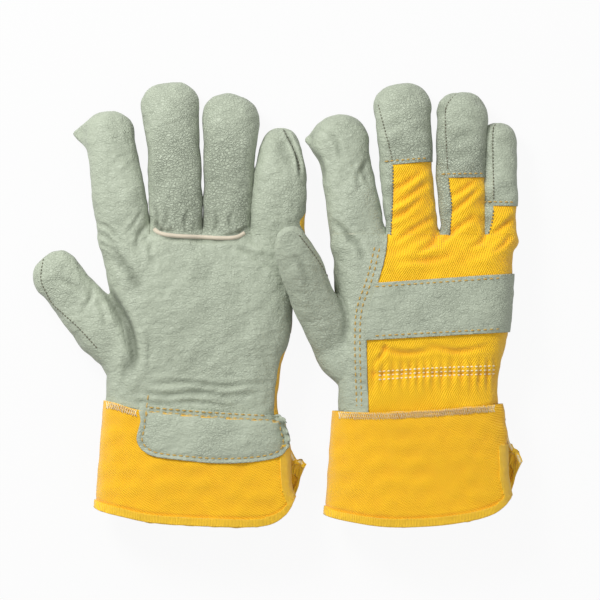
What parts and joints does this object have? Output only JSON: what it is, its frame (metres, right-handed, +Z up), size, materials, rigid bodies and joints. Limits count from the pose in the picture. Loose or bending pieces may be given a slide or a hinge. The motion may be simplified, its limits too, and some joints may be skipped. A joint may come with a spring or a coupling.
{
  "type": "gardening gloves",
  "caption": "Pair of leather and cotton-drill rigger work gloves with knuckle strap, elastic wrist and stiff safety cuff, lying one palm up and one palm down.",
  "frame": {"origin": "centre of the footprint of the pair, on the surface that they lie on", "axes": "+Z up, away from that surface; +Y from the cuffs to the fingertips; +X from the left glove to the right glove"},
  "size_m": [0.2918, 0.2682, 0.0589],
  "materials": {
    "leather": "fine-grained pale grey-green leather, soft sheen",
    "raw_leather": "cut leather edge, pale beige, matt",
    "drill": "golden yellow cotton drill, matt twill",
    "cuff_drill": "golden yellow cotton drill over a stiffener, matt twill",
    "binding": "yellow cotton tape, matt",
    "thread": "ochre sewing thread",
    "lining": "unbleached cotton lining",
    "elastic": "white woven elastic"
  },
  "bodies": {
    "left_hand": {"left_palm": "leather", "left_forefinger_strip": "leather", "left_back_drill": "drill", "left_palm_lining": "lining", "left_knuckle_strap": "leather", "left_strap_stitching": "thread", "left_wrist_elastic": "elastic", "left_finger_welt": "raw_leather"},
    "left_cuff": {"left_cuff": "cuff_drill", "left_cuff_binding": "binding", "left_hem_stitching": "thread", "left_pulse_patch": "leather", "left_patch_stitching": "thread"},
    "left_index": {"left_index_front": "leather", "left_index_back": "leather"},
    "left_middle": {"left_middle_front": "leather", "left_middle_back": "drill", "left_middle_cap": "leather"},
    "left_ring": {"left_ring_front": "leather", "left_ring_back": "drill", "left_ring_cap": "leather"},
    "left_little": {"left_little_front": "leather", "left_little_back": "drill", "left_little_cap": "leather"},
    "left_thumb": {"left_thumb_front": "leather", "left_thumb_back": "leather"},
    "right_hand": {"right_palm": "leather", "right_forefinger_strip": "leather", "right_back_drill": "drill", "right_palm_lining": "lining", "right_knuckle_strap": "leather", "right_strap_stitching": "thread", "right_wrist_elastic": "elastic", "right_finger_welt": "raw_leather"},
    "right_cuff": {"right_cuff": "cuff_drill", "right_cuff_binding": "binding", "right_hem_stitching": "thread", "right_pulse_patch": "leather", "right_patch_stitching": "thread"},
    "right_index": {"right_index_front": "leather", "right_index_back": "leather"},
    "right_middle": {"right_middle_front": "leather", "right_middle_back": "drill", "right_middle_cap": "leather"},
    "right_ring": {"right_ring_front": "leather", "right_ring_back": "drill", "right_ring_cap": "leather"},
    "right_little": {"right_little_front": "leather", "right_little_back": "drill", "right_little_cap": "leather"},
    "right_thumb": {"right_thumb_front": "leather", "right_thumb_back": "leather"}
  },
  "joints": [
    {"name": "left_wrist_bend", "type": "hinge", "parent": "left_hand", "child": "left_cuff", "pos_m": [-0.04708, -0.05042, 0.0167], "axis": [1, 0, 0], "range_deg": [-20, 20], "stiffness_Nm_per_rad": 0.4},
    {"name": "left_index_bend", "type": "hinge", "parent": "left_hand", "child": "left_index", "pos_m": [-0.09438, 0.05358, 0.0167], "axis": [1, 0, 0], "range_deg": [-3, 60], "stiffness_Nm_per_rad": 0.12},
    {"name": "left_middle_bend", "type": "hinge", "parent": "left_hand", "child": "left_middle", "pos_m": [-0.06148, 0.05358, 0.0167], "axis": [1, 0, 0], "range_deg": [-3, 60], "stiffness_Nm_per_rad": 0.12},
    {"name": "left_ring_bend", "type": "hinge", "parent": "left_hand", "child": "left_ring", "pos_m": [-0.03098, 0.05358, 0.0167], "axis": [1, 0, 0], "range_deg": [-3, 60], "stiffness_Nm_per_rad": 0.12},
    {"name": "left_little_bend", "type": "hinge", "parent": "left_hand", "child": "left_little", "pos_m": [-0.00018, 0.05358, 0.0167], "axis": [1, 0, 0], "range_deg": [-3, 60], "stiffness_Nm_per_rad": 0.12},
    {"name": "left_thumb_swing", "type": "hinge", "parent": "left_hand", "child": "left_thumb", "pos_m": [-0.09678, -0.02762, 0.0167], "axis": [0, 0, -1], "range_deg": [-8, 15], "stiffness_Nm_per_rad": 0.15},
    {"name": "right_glove_lift", "type": "slide", "parent": "left_hand", "child": "right_hand", "axis": [0, 0, 1], "range_m": [0, 0.12]},
    {"name": "right_wrist_bend", "type": "hinge", "parent": "right_hand", "child": "right_cuff", "pos_m": [0.08492, -0.05042, 0.0173], "axis": [1, 0, 0], "range_deg": [-20, 20], "stiffness_Nm_per_rad": 0.4},
    {"name": "right_index_bend", "type": "hinge", "parent": "right_hand", "child": "right_index", "pos_m": [0.04632, 0.05358, 0.0173], "axis": [-1, 0, 0], "range_deg": [-12, 50], "stiffness_Nm_per_rad": 0.12},
    {"name": "right_middle_bend", "type": "hinge", "parent": "right_hand", "child": "right_middle", "pos_m": [0.07942, 0.05358, 0.0173], "axis": [-1, 0, 0], "range_deg": [-12, 50], "stiffness_Nm_per_rad": 0.12},
    {"name": "right_ring_bend", "type": "hinge", "parent": "right_hand", "child": "right_ring", "pos_m": [0.11152, 0.05358, 0.0173], "axis": [-1, 0, 0], "range_deg": [-12, 50], "stiffness_Nm_per_rad": 0.12},
    {"name": "right_little_bend", "type": "hinge", "parent": "right_hand", "child": "right_little", "pos_m": [0.13572, 0.05358, 0.0173], "axis": [-1, 0, 0], "range_deg": [-12, 50], "stiffness_Nm_per_rad": 0.12},
    {"name": "right_thumb_swing", "type": "hinge", "parent": "right_hand", "child": "right_thumb", "pos_m": [0.03542, -0.02542, 0.0173], "axis": [0, 0, -1], "range_deg": [0, 8], "stiffness_Nm_per_rad": 0.15}
  ]
}
